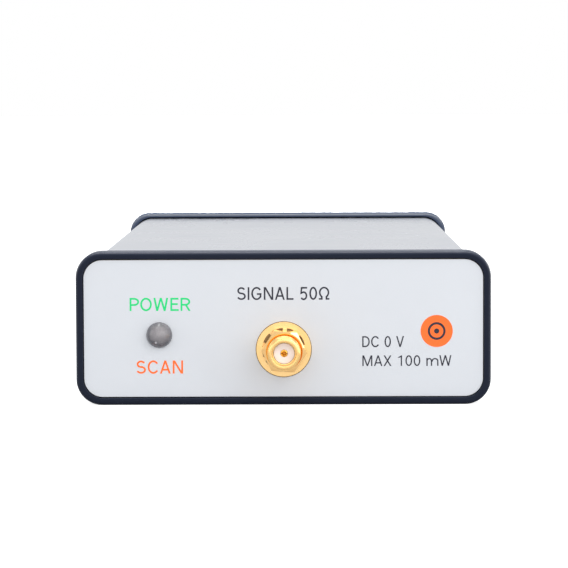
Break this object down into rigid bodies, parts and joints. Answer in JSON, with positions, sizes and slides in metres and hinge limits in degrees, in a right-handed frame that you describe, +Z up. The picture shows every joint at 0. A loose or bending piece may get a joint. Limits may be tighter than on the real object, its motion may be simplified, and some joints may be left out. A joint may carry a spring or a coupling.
{
  "type": "vector network analyzer",
  "caption": "Flat bench RF analyzer in an extruded aluminium case with dark end bezels, a threaded coaxial input jack and a status lamp on a pale front label.",
  "frame": {"origin": "centre of the overall box in plan, on the plane the two bezels rest on", "axes": "+X to the right seen from the front, +Y from the front panel to the rear panel, +Z up"},
  "size_m": [0.0804, 0.1906, 0.0298],
  "materials": {
    "anodised_aluminium": "satin anodised",
    "panel_aluminium": "satin",
    "bezel_plastic": "fine matte texture",
    "label_film": "satin film",
    "gold_plate": "gold plated",
    "nickel_plate": "bright nickel plated",
    "screw_steel": "black zinc",
    "ptfe": "translucent white",
    "lamp_epoxy": "smoky, diffused",
    "black_moulding": "matte",
    "board_laminate": "solder mask",
    "chip_mould": "matte",
    "shield_tinplate": "tin plated",
    "inductor_ferrite": "matte",
    "thermal_pad": "matte"
  },
  "bodies": {
    "root": {"case_extrusion": "anodised_aluminium", "belly_plate": "anodised_aluminium", "front_bezel": "bezel_plastic", "rear_bezel": "bezel_plastic", "front_panel": "panel_aluminium", "rear_panel": "panel_aluminium", "front_label": "label_film", "rear_label": "label_film", "front_screw_1": "screw_steel", "front_screw_2": "screw_steel", "front_screw_3": "screw_steel", "front_screw_4": "screw_steel", "rear_screw_1": "screw_steel", "rear_screw_2": "screw_steel", "rear_screw_3": "screw_steel", "rear_screw_4": "screw_steel", "input_jack_body": "gold_plate", "input_jack_dielectric": "ptfe", "input_jack_contact": "gold_plate", "input_jack_lock_washer": "gold_plate", "input_jack_nut": "gold_plate", "status_lamp": "lamp_epoxy", "status_lamp_holder": "black_moulding", "status_lamp_lead_1": "shield_tinplate", "status_lamp_lead_2": "shield_tinplate", "status_lamp_lead_3": "shield_tinplate", "main_board": "board_laminate", "rf_shield_fence": "shield_tinplate", "rf_shield_lid": "shield_tinplate", "rf_shield_screw_1": "screw_steel", "rf_shield_screw_2": "screw_steel", "rf_shield_screw_3": "screw_steel", "rf_shield_screw_4": "screw_steel", "mixer_chip": "chip_mould", "band_filter": "shield_tinplate", "converter_chip": "chip_mould", "processor_chip": "chip_mould", "usb_controller_chip": "chip_mould", "reference_oscillator": "shield_tinplate", "power_inductor": "inductor_ferrite", "bulk_capacitor_1": "shield_tinplate", "bulk_capacitor_2": "shield_tinplate", "thermal_pad": "thermal_pad", "usb_socket_shell": "nickel_plate", "usb_socket_insulator": "black_moulding", "usb_socket_contact_1": "gold_plate", "usb_socket_contact_2": "gold_plate", "usb_socket_contact_3": "gold_plate", "usb_socket_contact_4": "gold_plate", "trigger_jack_body": "nickel_plate", "trigger_jack_dielectric": "ptfe", "trigger_jack_contact": "gold_plate", "trigger_jack_housing": "black_moulding", "trigger_jack_lock_washer": "nickel_plate", "trigger_jack_nut": "nickel_plate"}
  },
  "joints": []
}
